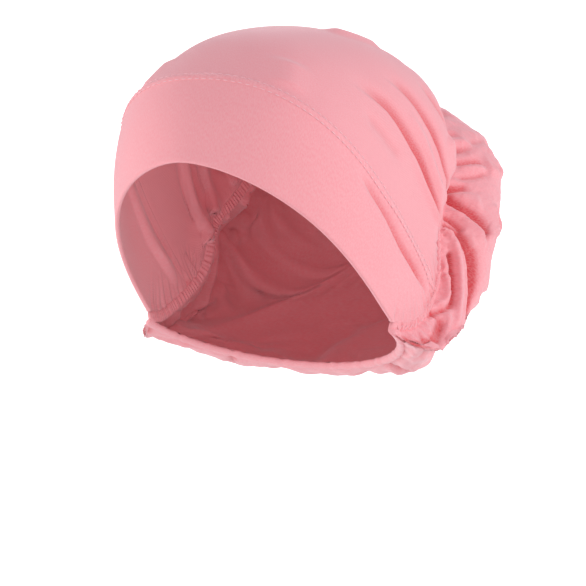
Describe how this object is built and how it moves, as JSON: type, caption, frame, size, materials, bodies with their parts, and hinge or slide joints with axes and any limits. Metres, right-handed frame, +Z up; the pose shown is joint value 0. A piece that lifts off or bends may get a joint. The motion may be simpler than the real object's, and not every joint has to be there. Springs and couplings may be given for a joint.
{
  "type": "hijab underscarf cap (knit turban bonnet with gathered back pouch)",
  "caption": "Pink jersey underscarf cap in its worn shape: wide folded front band, stretched crown, shirred elastic and a full gathered pouch at the back.",
  "frame": {"origin": "where the top of the wearer's head bears against the inside of the crown", "axes": "+Z up, the wearer faces -Y, +X to the wearer's left"},
  "size_m": [0.1787, 0.2597, 0.1889],
  "materials": {
    "band_jersey": "matte two-layer cotton jersey, fine vertical ribs of the knit",
    "seam_jersey": "matte jersey strip between two rows of stitches",
    "crown_jersey": "matte stretched jersey with soft folds",
    "elastic_jersey": "matte jersey casing shirred on elastic",
    "pouch_jersey": "matte gathered jersey"
  },
  "bodies": {
    "root": {"front_band": "band_jersey", "band_seam": "seam_jersey", "crown_panel": "crown_jersey", "gather_elastic": "elastic_jersey", "back_pouch": "pouch_jersey"}
  },
  "joints": []
}
